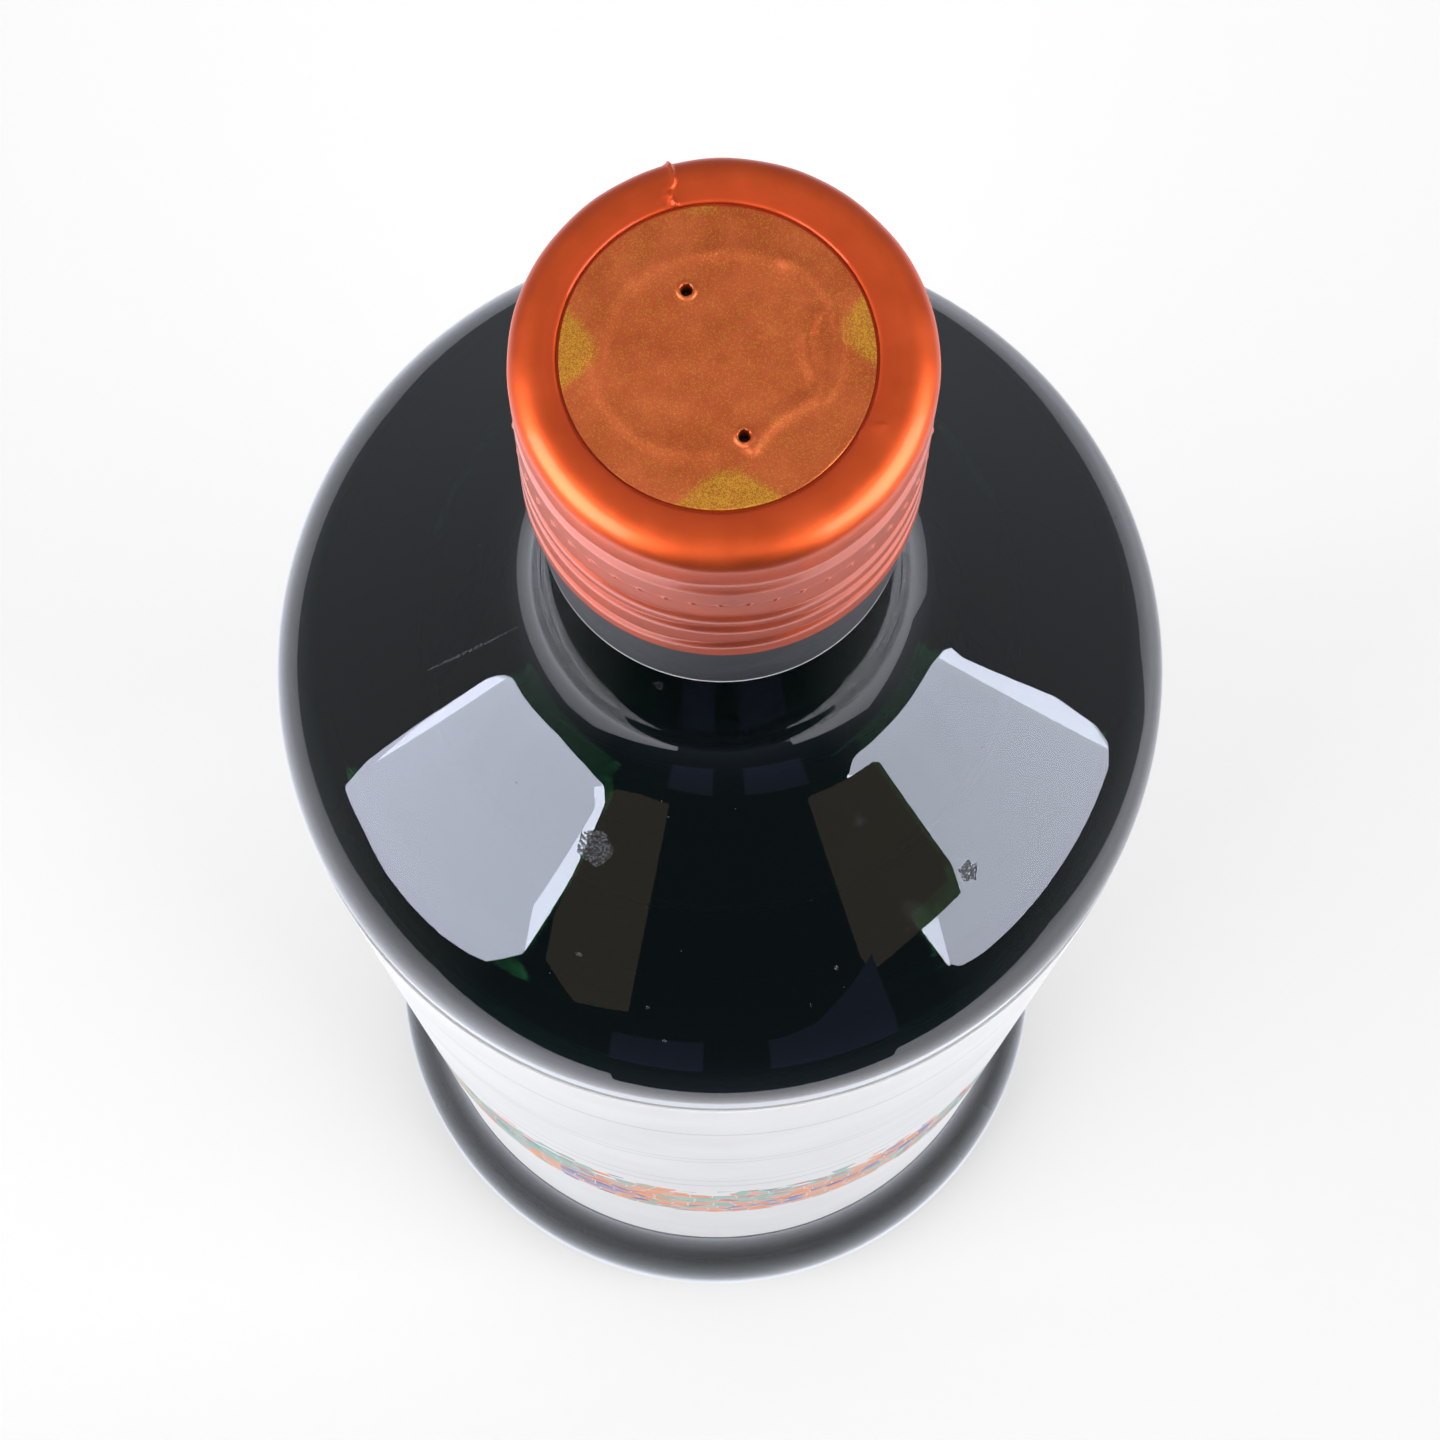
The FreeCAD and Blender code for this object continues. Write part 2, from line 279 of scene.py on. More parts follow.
whisky_material, tree, output = new_material("whisky")
place = add_node(tree, "ShaderNodeTexCoord").outputs["Object"]
calm = add_node(tree, "ShaderNodeBump", {
    "Height": noise(tree, place, 30.0, 1.0), "Strength": 0.3, "Distance": 0.00002})
whisky_shader = add_node(tree, "ShaderNodeBsdfPrincipled", {
    "Base Color": (1.0, 0.99, 0.96, 1.0), "Transmission Weight": 1.0, "IOR": 1.36,
    "Metallic": 0.0, "Roughness": 0.0, "Normal": calm.outputs["Normal"]})
whisky_body = add_node(tree, "ShaderNodeVolumeAbsorption", {
    "Color": (0.90, 0.70, 0.20, 1.0), "Density": 40.0})
tree.links.new(whisky_shader.outputs[0], output.inputs["Surface"])
tree.links.new(whisky_body.outputs[0], output.inputs["Volume"])

drink_points, drink_faces = poled(turned(drink_profile, round_turn[::2]),
                                  (0.0, 0.0, drink_floor[0, 1]), (0.0, 0.0, fill_height))
whisky = make_piece("whisky_fill", drink_points, drink_faces, whisky_material, sharp=50.0)
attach(whisky, "root")
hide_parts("whisky")

# ---------------------------------------------------------------------- the label
# White uncoated paper, glued round the panel with a gap at the back. Its print is a band of small
# facets in mixed colours near the lower edge, fine lines over it, and one thin upright rule.
label_bottom, label_top, paper, label_wrap = 20.4, 167.0, 0.2, 315.0
label_bite, paper_edge = 0.05, 0.06
band_low, band_high, facets_per_metre = 58.0, 84.0, 430.0
fine_rules = [(91.0, 0.5), (96.5, 0.3), (118.0, 0.3), (121.0, 0.3), (146.0, 0.5)]
label_rows, label_columns = 60, 400
end_turn, end_press = 0.02, 0.05         # the upright ends lie closer to the glass

upright = np.linspace(label_bottom + paper_edge, label_top - paper_edge, label_rows)
paper_face = np.stack([panel_across(upright) + paper, upright], axis=1)
paper_back = np.stack([panel_across(upright[::12]) - label_bite, upright[::12]], axis=1)
paper_profile = chain(
    [(panel_across(label_bottom) + paper - paper_edge, label_bottom)], paper_face,
    [(panel_across(label_top) + paper - paper_edge, label_top),
     (panel_across(label_top) - label_bite, label_top)],
    paper_back[::-1], [(panel_across(label_bottom) - label_bite, label_bottom)])
half_wrap = math.radians(label_wrap / 2.0)
label_turn = np.linspace(-half_wrap, half_wrap, label_columns)
label_grid = turned(paper_profile, label_turn)
rows = len(paper_profile)
near_end = np.clip((np.abs(label_turn) - half_wrap + end_turn) / end_turn, 0.0, 1.0)
end_share = 1.0 - near_end[:, None] ** 2 * end_press / shoulder_radius
label_grid[1:label_rows + 1, :, :2] *= end_share
label_points = label_grid.reshape(-1, 3)
end = np.arange(rows) * label_columns
label_faces = (lattice(rows, label_columns, rows_meet=True, columns_meet=False).tolist()
               + [end.tolist(), (end + label_columns - 1)[::-1].tolist()])


def mix_colour(tree, share, first, second, blend="MIX"):
    """Two colours mixed: share 0 gives the first, and 1 the second."""
    return add_node(tree, "ShaderNodeMix", {0: share, 6: first, 7: second}, data_type="RGBA",
                    blend_type=blend).outputs[2]


def colour_steps(tree, value, stops, interpolation="LINEAR"):
    """A colour ramp through the stops, each (position, (r, g, b))."""
    node = add_node(tree, "ShaderNodeValToRGB", {"Fac": value})
    node.color_ramp.interpolation = interpolation
    while len(node.color_ramp.elements) < len(stops):
        node.color_ramp.elements.new(0.5)
    for element, (position, colour) in zip(node.color_ramp.elements, stops):
        element.position = position
        element.color = (*colour, 1.0)
    return node.outputs["Color"]


label_paper, tree, output = new_material("white_label_paper")
sheet = add_node(tree, "ShaderNodeUVMap", uv_map="girth_and_height").outputs["UV"]
split = add_node(tree, "ShaderNodeSeparateXYZ", {"Vector": sheet})
girth, height = split.outputs["X"], split.outputs["Y"]
fibre = noise(tree, sheet, 2600.0, 4.0, 0.6)
cloud = noise(tree, sheet, 60.0, 3.0)
bare = colour_steps(tree, cloud, [(0.3, (0.80, 0.80, 0.81)), (0.7, (0.86, 0.86, 0.865))])
bare = mix_colour(tree, ranged(tree, fibre, 0.35, 0.75, 0.0, 0.10), bare, (0.66, 0.65, 0.63, 1.0))
facets = {"Vector": sheet, "Scale": facets_per_metre, "Randomness": 0.85}
facet = add_node(tree, "ShaderNodeTexVoronoi", facets, voronoi_dimensions="2D")
facet_edge = add_node(tree, "ShaderNodeTexVoronoi", facets, voronoi_dimensions="2D",
                      feature="DISTANCE_TO_EDGE").outputs["Distance"]
facet_draw = add_node(tree, "ShaderNodeSeparateColor", {"Color": facet.outputs["Color"]}).outputs
drift = math_node(tree, "ADD", math_node(tree, "MULTIPLY", noise(tree, sheet, 34.0, 1.0), 1.5),
                  math_node(tree, "MULTIPLY", facet_draw[0], 0.22))
hue = math_node(tree, "FRACT", drift)
tint = colour_steps(tree, hue, [
    (0.00, (0.06, 0.30, 0.28)), (0.14, (0.80, 0.42, 0.05)), (0.28, (0.26, 0.19, 0.42)),
    (0.42, (0.70, 0.16, 0.14)), (0.56, (0.05, 0.08, 0.34)), (0.70, (0.78, 0.24, 0.05)),
    (0.84, (0.22, 0.42, 0.33)), (0.95, (0.55, 0.08, 0.10))], "CONSTANT")
tint = mix_colour(tree, math_node(tree, "MULTIPLY", facet_draw[1], 0.30), tint,
                  (0.80, 0.78, 0.78, 1.0))
above = ranged(tree, height, (band_low - 0.5) * MM, (band_low + 2.0) * MM)
under = ranged(tree, height, (band_high - 7.0) * MM, (band_high + 2.0) * MM, 1.0, 0.0)
in_band = math_node(tree, "MULTIPLY", above, under)
printed = math_node(tree, "GREATER_THAN", in_band,
                    math_node(tree, "MULTIPLY", facet_draw[2], 0.85))
printed = math_node(tree, "MULTIPLY", printed, ranged(tree, facet_edge, 0.01, 0.04))
rules = 0.0
for rule_height, rule_thick in fine_rules:
    off = math_node(tree, "ABSOLUTE", math_node(tree, "SUBTRACT", height, rule_height * MM))
    rules = math_node(tree, "MAXIMUM", rules, ranged(
        tree, off, rule_thick * 0.4 * MM, rule_thick * 0.9 * MM, 1.0, 0.0))
bare = mix_colour(tree, math_node(tree, "MULTIPLY", rules, 0.40), bare, (0.30, 0.30, 0.32, 1.0))
label_colour = mix_colour(tree, math_node(tree, "MULTIPLY", printed, 0.95), bare, tint)
rule_place, rule_width, rule_top = 65.5, 0.5, 55.0
rule_girth = math.radians(rule_place) * panel_across(40.0)
off_rule = math_node(tree, "ABSOLUTE", math_node(tree, "SUBTRACT", girth, rule_girth * MM))
on_rule = math_node(tree, "MULTIPLY",
                    ranged(tree, off_rule, rule_width * 0.3 * MM, rule_width * 0.6 * MM, 1.0, 0.0),
                    math_node(tree, "LESS_THAN", height, rule_top * MM))
label_colour = mix_colour(tree, math_node(tree, "MULTIPLY", on_rule, 0.75), label_colour,
                          (0.33, 0.11, 0.08, 1.0))
tooth = add_node(tree, "ShaderNodeBump", {"Height": fibre, "Strength": 0.5, "Distance": 0.00003})
paper_shader = add_node(tree, "ShaderNodeBsdfPrincipled", {
    "Base Color": label_colour, "Roughness": 0.62, "Specular IOR Level": 0.35,
    "Normal": tooth.outputs["Normal"]})
tree.links.new(paper_shader.outputs[0], output.inputs["Surface"])

label = make_piece("paper_label", label_points, label_faces, label_paper, sharp=30.0)
spread = np.stack([np.repeat(label_turn[None] * panel_across(95.0), rows, axis=0),
                   np.repeat(paper_profile[:, 1, None], label_columns, axis=1)], axis=2) * MM
corner = np.empty(len(label.data.loops), int)
label.data.loops.foreach_get("vertex_index", corner)
sheet_map = label.data.uv_layers.new(name="girth_and_height")
sheet_map.data.foreach_set("uv", spread.reshape(-1, 2)[corner].ravel())
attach(label, "root")
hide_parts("label")

# ---------------------------------------------------------------------- the capsule
# A sleeve of metallised film, shrunk over the mouth and neck: copper, with a dark border where it
# ends on the glass. Shrinking draws it into three wavy grooves below a rounded bead, leaves a ring
# of small round vent marks, and puckers it where its ends overlap at the back.
hem_height, hem_radius, border_radius = 228.4, 15.22, 15.8
copper_edge, copper_radius, band_top, waist_height = 241.4, 16.18, 260.0, 261.5
groove_heights, groove_depth, groove_half = (244.6, 249.1, 253.0), 0.30, 1.1
bead_low, bead_radius, bead_crest, bead_top = 263.2, 16.2, 13.8, 268.65
shift_from, shift_width = 14.2, 1.8      # the recess lies off centre, the bead's outside does not
brim_radius, brim_height = 12.25, 268.50
recess_radius, recess_floor, recess_drop, recess_shift = 12.0, 268.1, 1.8, -0.45
capsule_top = 268.85
mark_height, mark_count, mark_size, mark_rise = 257.0, 48, 0.24, 0.11
seam_azimuth, seam_step, seam_edge, seam_fade = -164.0, 0.06, 0.02, 0.5
pucker_half, groove_half_share = 0.18, 0.55
# height and plan points of each pucker: a faint one at the right, and the fold of the seam
pucker_lines = [(0.09, [(10.45, -5.93), (11.02, -5.24), (12.15, -5.23)]),
                (0.34, [(-4.40, 15.60), (-4.04, 14.52), (-3.89, 13.85), (-4.08, 12.93),
                        (-3.29, 11.88)])]

mark_pitch = 2.0 * math.pi / mark_count
mark_steps = np.array([-0.36, -0.22, -0.13, -0.045, 0.045, 0.13, 0.22, 0.36, 0.70, 1.15])
film_turn = (np.arange(mark_count)[:, None] * mark_pitch + mark_steps / copper_radius).ravel()
bead_round = bead_radius - bead_crest
inner_fall, inner_run = bead_top - brim_height, bead_crest - brim_radius
inner_round = (inner_run ** 2 + inner_fall ** 2) / (2.0 * inner_fall)
inner_turn = math.degrees(math.asin(inner_run / inner_round))
skirt = np.concatenate([np.arange(copper_edge + 0.2, mark_height - 0.5, 0.26),
                        np.arange(mark_height - 0.45, mark_height + 0.5, 0.09),
                        np.arange(mark_height + 0.7, band_top, 0.32)])
film_outside = chain(
    run((hem_radius - 0.12, hem_height), (hem_radius, hem_height + 0.12), 3),
    run((hem_radius, hem_height + 0.12), (border_radius, copper_edge - 0.1), 14),
    [(border_radius + 0.05, copper_edge), (copper_radius - 0.1, copper_edge)],
    [(copper_radius, copper_edge + 0.1)],
    np.stack([copper_radius + 0.0 * skirt, skirt], axis=1),
    [(copper_radius, band_top)],
    run((copper_radius - 0.12, band_top + 0.5), (copper_radius - groove_depth, waist_height), 4),
    run((copper_radius - groove_depth, waist_height + 0.4), (bead_radius, bead_low), 5),
    arc(bead_crest, bead_top - bead_round, bead_round, 0.0, 90.0, 26),
    arc(bead_crest, bead_top - inner_round, inner_round, 90.0, 90.0 + inner_turn, 14),
    run((brim_radius - 0.15, brim_height - 0.08), (recess_radius + 0.02, recess_floor), 4),
    run((recess_radius - 0.1, recess_floor - 0.02), (recess_radius - 0.6, recess_floor - 0.03), 3),
    run((recess_radius - 0.7, recess_floor - recess_drop), (4.0, recess_floor - recess_drop), 3))


def distance_to(line, across, along):
    """Each point's shortest distance in plan to a line of straight pieces: for each piece, the
    point's share along it, kept between its ends, gives the nearest point on it."""
    line = np.asarray(line)
    nearest = np.full(np.shape(across), np.inf)
    for (x0, y0), (x1, y1) in zip(line[:-1], line[1:]):
        share = ((across - x0) * (x1 - x0) + (along - y0) * (y1 - y0)) \
            / ((x1 - x0) ** 2 + (y1 - y0) ** 2)
        share = np.clip(share, 0.0, 1.0)
        nearest = np.minimum(nearest, np.hypot(across - x0 - share * (x1 - x0),
                                               along - y0 - share * (y1 - y0)))
    return nearest


def waves(turn, *terms):
    """A sum of sine waves round the axis, each (how many, phase, height)."""
    return sum(height * np.sin(count * turn + phase) for count, phase, height in terms)


tangent = np.gradient(film_outside, axis=0)
facing = np.stack([tangent[:, 1], -tangent[:, 0]], axis=1)
facing /= np.hypot(*facing.T)[:, None]
film_height = film_outside[:, 1, None]
film_plan = turned(film_outside, film_turn)
proud = 0.0 * film_plan[:, :, 0]
for number, groove in enumerate(groove_heights):
    wander = waves(film_turn, (1, number * 2.6, 0.22), (2, number * 2.1, 0.20),
                   (5, number + 0.4, 0.10), (9, 1.7, 0.04))
    away = (film_height - groove - wander) / groove_half
    depth = groove_depth * (1.0 + waves(film_turn, (3, number * 1.3, 0.18), (7, 0.5, 0.12)))
    proud -= depth * np.exp(-(away / groove_half_share) ** 2)
round_away = (film_turn + mark_pitch / 2.0) % mark_pitch - mark_pitch / 2.0
mark_away = np.hypot(round_away * copper_radius, film_height - mark_height)
proud += mark_rise * np.exp(-(mark_away / mark_size) ** 4)
seam = (film_turn - math.radians(seam_azimuth) + math.pi) % (2.0 * math.pi) - math.pi
proud += seam_step * np.clip(seam / seam_edge, 0.0, 1.0) \
    * np.clip(1.0 - seam / seam_fade, 0.0, 1.0) * (film_height > copper_edge)
on_top = film_height > band_top
for pucker, line in pucker_lines:
    away = distance_to(line, film_plan[:, :, 0], film_plan[:, :, 1])
    proud += on_top * pucker * np.exp(-(away / pucker_half) ** 2)
proud -= on_top * waves(film_turn, (2, 0.6, 0.02), (5, 2.0, 0.022), (11, 0.3, 0.014),
                        (19, 1.1, 0.010))
proud = np.where(film_outside[:, 0, None] < recess_radius + 0.1, 0.0, proud)
film_grid = turned(film_outside, film_turn)
film_grid[:, :, 0] += proud * facing[:, 0, None] * np.sin(film_turn)
film_grid[:, :, 1] -= proud * facing[:, 0, None] * np.cos(film_turn)
film_grid[:, :, 2] += proud * facing[:, 1, None]
aside = np.clip((shift_from - film_outside[:, 0]) / shift_width, 0.0, 1.0)
aside *= film_outside[:, 1] > bead_low
film_grid[:, :, 0] += (recess_shift * aside ** 2 * (3.0 - 2.0 * aside))[:, None]
film_grid[:, :, 2] = np.minimum(film_grid[:, :, 2], capsule_top)
lining = turned(np.array([(3.0, mouth_height), (neck_radius - label_bite, mouth_height),
                          (neck_radius - label_bite, (mouth_height + hem_height) / 2.0),
                          (neck_radius - label_bite, hem_height)]), film_turn)
film_points, film_faces = poled(np.concatenate([lining, film_grid]),
                                (0.0, 0.0, mouth_height), (0.0, 0.0, recess_floor - recess_drop))

copper_film, tree, output = new_material("copper_film")
place = add_node(tree, "ShaderNodeTexCoord").outputs["Object"]
up = add_node(tree, "ShaderNodeSeparateXYZ", {"Vector": place}).outputs["Z"]
border = math_node(tree, "LESS_THAN", up, (copper_edge + 0.02) * MM)
cut = ranged(tree, up, (hem_height + 0.40) * MM, (hem_height + 0.60) * MM, 1.0, 0.0)
grain = noise(tree, place, 5000.0, 2.0)
mottle = noise(tree, place, 220.0, 4.0, 0.6)
copper = colour_steps(tree, mottle, [(0.3, (0.63, 0.080, 0.014)), (0.7, (0.72, 0.104, 0.022))])
recess_middle = (recess_shift * MM, 0.0, 0.0)
from_middle = add_node(tree, "ShaderNodeVectorMath", {0: place, 1: recess_middle},
                       operation="SUBTRACT").outputs[0]
level_part = add_node(tree, "ShaderNodeVectorMath", {0: from_middle, 1: (1.0, 1.0, 0.0)},
                      operation="MULTIPLY").outputs[0]
off_axis = add_node(tree, "ShaderNodeVectorMath", {0: level_part},
                    operation="LENGTH").outputs["Value"]
# Painted shade: the film is coloured darker in a ring round the brim of the recess, and the same
# ring is also made rougher.
painted_brim_shade = ranged(tree, off_axis, (brim_radius + 0.1) * MM, (brim_radius + 1.9) * MM, 1.0, 0.0)
copper = mix_colour(tree, math_node(tree, "MULTIPLY", painted_brim_shade, 0.60), copper,
                    (0.40, 0.050, 0.010, 1.0))
film_colour = mix_colour(tree, border, copper, (0.010, 0.010, 0.011, 1.0))
film_colour = mix_colour(tree, cut, film_colour, (0.75, 0.75, 0.76, 1.0))
film_metal = math_node(tree, "SUBTRACT", 1.0, border)
film_relief = add_node(tree, "ShaderNodeMath", {0: mottle, 1: 3.0, 2: grain},
                       operation="MULTIPLY_ADD").outputs[0]
film_bump = add_node(tree, "ShaderNodeBump", {
    "Height": film_relief, "Strength": 0.6, "Distance": 0.00001})
film_shader = add_node(tree, "ShaderNodeBsdfPrincipled", {
    "Base Color": film_colour, "Metallic": film_metal,
    "Roughness": math_node(tree, "ADD", ranged(tree, mottle, 0.3, 0.7, 0.42, 0.52),
                           math_node(tree, "MULTIPLY", painted_brim_shade, 0.15)),
    "Coat Weight": math_node(tree, "MULTIPLY", film_metal, ranged(
        tree, up, waist_height * MM, bead_low * MM, 0.80, 0.25)),
    "Coat Roughness": 0.20, "Coat IOR": 1.5, "Normal": film_bump.outputs["Normal"]})
tree.links.new(film_shader.outputs[0], output.inputs["Surface"])

capsule = make_piece("copper_capsule", film_points, film_faces, copper_film, sharp=55.0)
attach(capsule, "root")
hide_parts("capsule")

# ---------------------------------------------------------------------- the disc in the top
# A thin foil disc laid in the recess of the bead, copper-brown with fine gold glitter and a few
# gilt patches. Two vent holes are punched through it, and pressing it down has creased it.
disc_radius, disc_thickness, disc_shift = 11.83, 0.25, recess_shift
vents, vent_radius, vent_depth, vent_lip = [(-2.38, 5.12), (2.06, -6.15)], 0.40, 1.5, 0.14
disc_rings, disc_columns, patch_fade, flakes_per_metre = 118, 480, 1.6, 14000.0
inner_crease = [(7.13, 3.28), (6.58, 1.78), (7.02, -0.61), (7.46, -1.79), (7.12, -2.98),
                (5.77, -3.89), (4.35, -4.80), (3.37, -5.85), (2.67, -7.04)]
outer_crease = [(5.0, 7.5), (6.4, 6.9), (7.4, 5.98), (8.41, 4.5), (8.99, 2.71), (9.15, 0.61),
                (8.88, -1.48), (8.17, -2.97)]
press_ring = [(-176, 8.2), (-155, 8.3), (-134, 8.8), (-110, 8.8), (-89, 9.1), (-67, 8.9),
              (-47, 8.5), (-29, 8.0), (-8, 7.5)]
back_ring = [(146, 9.0), (165, 8.5), (184, 8.2)]
bumps = [(2.67, -7.13, 0.40, 0.05), (0.24, -0.54, 0.50, 0.09), (3.08, 1.73, 0.22, 0.05)]
scratch = [(-4.11, 10.66), (-3.67, 10.06)]

disc_turn = np.linspace(0.0, 2.0 * math.pi, disc_columns, endpoint=False)
ring_radius = np.linspace(0.1, disc_radius - 0.06, disc_rings)
disc_top = recess_floor + disc_thickness
top_face = turned(np.stack([ring_radius, disc_top + 0.0 * ring_radius], axis=1), disc_turn)
across, along = top_face[:, :, 0], top_face[:, :, 1]


def around_axis(ring):
    """Plan points of a line given as (azimuth in degrees, radius)."""
    azimuth, radius = np.radians([r[0] for r in ring]), np.array([r[1] for r in ring])
    fine = np.linspace(azimuth[0], azimuth[-1], 40)
    radius = np.interp(fine, azimuth, radius)
    return np.stack([radius * np.sin(fine), -radius * np.cos(fine)], axis=1)


def ridge(line, height, width):
    """A soft ridge along a line in plan, of that height and half width."""
    return height * np.exp(-(distance_to(line, across, along) / width) ** 2)


relief = (ridge(inner_crease, 0.20, 0.62) + ridge(outer_crease, 0.13, 0.50)
          + ridge(around_axis(press_ring), 0.14, 0.70) + ridge(around_axis(back_ring), 0.14, 0.70)
          - ridge(scratch, 0.04, 0.08))
for x, y, size, height in bumps:
    relief += height * np.exp(-(np.hypot(across - x, along - y) / size) ** 2)
relief += 0.03 * np.sin(0.5 * across + 0.8) * np.cos(0.45 * along) - 0.04 * np.clip(
    (np.hypot(across, along) - 9.5) / 2.0, 0.0, 1.0) ** 2
pit = 0.0 * relief
for x, y in vents:
    away = np.hypot(across - x, along - y)
    relief += vent_lip * np.exp(-((away - vent_radius - 0.20) / 0.17) ** 2)
    pit = np.maximum(pit, np.clip((vent_radius + 0.05 - away) / 0.10, 0.0, 1.0))
relief -= vent_depth * pit
top_face[:, :, 2] += relief
edge_profile = np.array([(disc_radius - 0.9, disc_top - disc_thickness - vent_depth),
                         (disc_radius - 0.6, disc_top - disc_thickness - 0.02),
                         (disc_radius, disc_top - disc_thickness),
                         (disc_radius, disc_top - 0.06)])
disc_grid = np.concatenate([turned(edge_profile, disc_turn), top_face[::-1]])
disc_points, disc_faces = poled(disc_grid, (0.0, 0.0, disc_top - disc_thickness - vent_depth),
                                (0.0, 0.0, disc_top + relief[0].mean()))
disc_points[:, 0] += disc_shift
disc_points[:, 2] = np.minimum(disc_points[:, 2], capsule_top)

plan_turn = np.degrees(np.arctan2(disc_points[:, 0] - disc_shift, -disc_points[:, 1]))
plan_radius = np.hypot(disc_points[:, 0] - disc_shift, disc_points[:, 1])


def patch(middle, half, inner):
    """A gilt patch at the rim, 1 inside and 0 outside: its inner edge, at radius inner in the
    middle, bows out to the rim over half its spread in degrees."""
    bow = inner + (disc_radius - inner) * ((plan_turn - middle) / half) ** 2
    beyond = np.clip((plan_radius - bow) / patch_fade + 0.5, 0.0, 1.0)
    return beyond * (np.abs(plan_turn - middle) < half + 20)


gilt = np.maximum.reduce([patch(-92, 16, 9.0), patch(101, 14, 9.5), patch(5, 20, 8.8),
                          0.5 * patch(-176, 10, 10.8)])
# Each point's share of a vent hole, which the foil's material paints near black: painted shade.
hollow = np.concatenate([np.zeros(4 * disc_columns), pit[::-1].ravel(), [0.0, 0.0]])

disc_foil, tree, output = new_material("glittered_copper_foil")
place = add_node(tree, "ShaderNodeTexCoord").outputs["Object"]
gilt_share = add_node(tree, "ShaderNodeAttribute", attribute_name="gilt").outputs["Fac"]
mottle = noise(tree, place, 300.0, 4.0, 0.65)
foil = colour_steps(tree, mottle, [(0.3, (0.60, 0.115, 0.036)), (0.7, (0.72, 0.160, 0.055))])
flake = add_node(tree, "ShaderNodeTexVoronoi", {"Vector": place, "Scale": flakes_per_metre})
flake_draw = add_node(tree, "ShaderNodeSeparateColor", {"Color": flake.outputs["Color"]}).outputs
rough_edge = math_node(tree, "ADD", gilt_share, math_node(
    tree, "MULTIPLY", noise(tree, place, 900.0, 3.0, 0.7), 0.5))
gilded = ranged(tree, rough_edge, 0.45, 1.15)
sparse = ranged(tree, noise(tree, place, 420.0, 3.0), 0.3, 0.7, 0.88, 0.74)
glitter = math_node(tree, "GREATER_THAN", flake_draw[0],
                    math_node(tree, "MULTIPLY", sparse, ranged(tree, gilded, 0.0, 1.0, 1.0, 0.62)))
foil = mix_colour(tree, math_node(tree, "MULTIPLY", gilded, 0.40), foil, (0.60, 0.30, 0.03, 1.0))
foil = mix_colour(tree, math_node(tree, "MULTIPLY", glitter, ranged(
    tree, gilded, 0.0, 1.0, 0.32, 0.75)), foil, (0.86, 0.48, 0.05, 1.0))
# Painted shade: the vent holes are coloured near black and made not metallic.
painted_hole_shade = add_node(tree, "ShaderNodeAttribute", attribute_name="pit").outputs["Fac"]
foil = mix_colour(tree, painted_hole_shade, foil, (0.012, 0.008, 0.007, 1.0))
foil_bump = add_node(tree, "ShaderNodeBump", {
    "Height": flake_draw[1], "Strength": 0.35, "Distance": 0.00002})
foil_shader = add_node(tree, "ShaderNodeBsdfPrincipled", {
    "Base Color": foil, "Metallic": math_node(tree, "SUBTRACT", 1.0, painted_hole_shade),
    "Roughness": ranged(tree, mottle, 0.3, 0.7, 0.34, 0.46),
    "Normal": foil_bump.outputs["Normal"]})
tree.links.new(foil_shader.outputs[0], output.inputs["Surface"])

disc = make_piece("foil_disc", disc_points, disc_faces, disc_foil, sharp=50.0)
for share_name, share in (("gilt", gilt), ("pit", hollow)):
    disc.data.attributes.new(share_name, "FLOAT", "POINT").data.foreach_set("value", share)
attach(disc, "root")
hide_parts("capsule_disc")

# ---------------------------------------------------------------------- the dust
# Dry household dust on the shoulder: two dried drops with ragged edges, a few larger specks, one
# faint wipe mark on the left, and a sprinkling of fine specks. It only lies on the glass.
flake_sides, flake_levels = 16, np.array([(0.85, -0.5), (1.0, 0.0), (0.72, 0.8), (0.35, 1.0)])
# azimuth, radius, half width, half length, thickness, raggedness
named_flakes = [(-26.0, 24.9, 1.65, 1.85, 0.03, 0.16), (45.0, 32.1, 0.90, 1.10, 0.03, 0.30),
                (-22.0, 33.0, 0.34, 0.22, 0.06, 0.2), (19.0, 33.3, 0.22, 0.26, 0.05, 0.2),
                (14.0, 35.6, 0.10, 0.22, 0.04, 0.1), (-10.0, 35.5, 0.20, 0.18, 0.04, 0.2),
                (-7.0, 37.9, 0.22, 0.16, 0.04, 0.2), (-13.0, 27.8, 0.14, 0.12, 0.04, 0.2),
                (-77.4, 22.7, 0.13, 6.2, 0.01, 0.0)]
draw = np.random.default_rng(11)
speck_count, speck_radii = 70, (19.0, 40.5)
specks = np.stack([draw.uniform(-180.0, 180.0, speck_count),
                   draw.uniform(*speck_radii, speck_count),
                   draw.uniform(0.03, 0.09, speck_count), draw.uniform(0.03, 0.10, speck_count),
                   np.full(speck_count, 0.03), np.full(speck_count, 0.2)], axis=1)
flakes = np.concatenate([np.array(named_flakes), specks])
crown_top = int(np.argmax(outer_shoulder[:, 0]))
shoulder_fall = outer_shoulder[crown_top:][::-1]
shoulder_step = np.gradient(shoulder_fall, axis=0)
shoulder_step /= np.hypot(*shoulder_step.T)[:, None]

flake_angle = np.linspace(0.0, 2.0 * math.pi, flake_sides, endpoint=False)
ragged = 1.0 + flakes[:, 5, None] * (0.6 * np.sin(5.0 * flake_angle + flakes[:, 0, None])
                                     + 0.4 * np.sin(8.0 * flake_angle + flakes[:, 1, None]))
size = flake_levels[:, 0][None, :, None] * ragged[:, None, :]
sideways = flakes[:, 2][:, None, None] * size * np.sin(flake_angle)
upwards = -flakes[:, 3][:, None, None] * size * np.cos(flake_angle)
thick = flakes[:, 4][:, None, None] * flake_levels[:, 1][None, :, None] + 0.0 * size


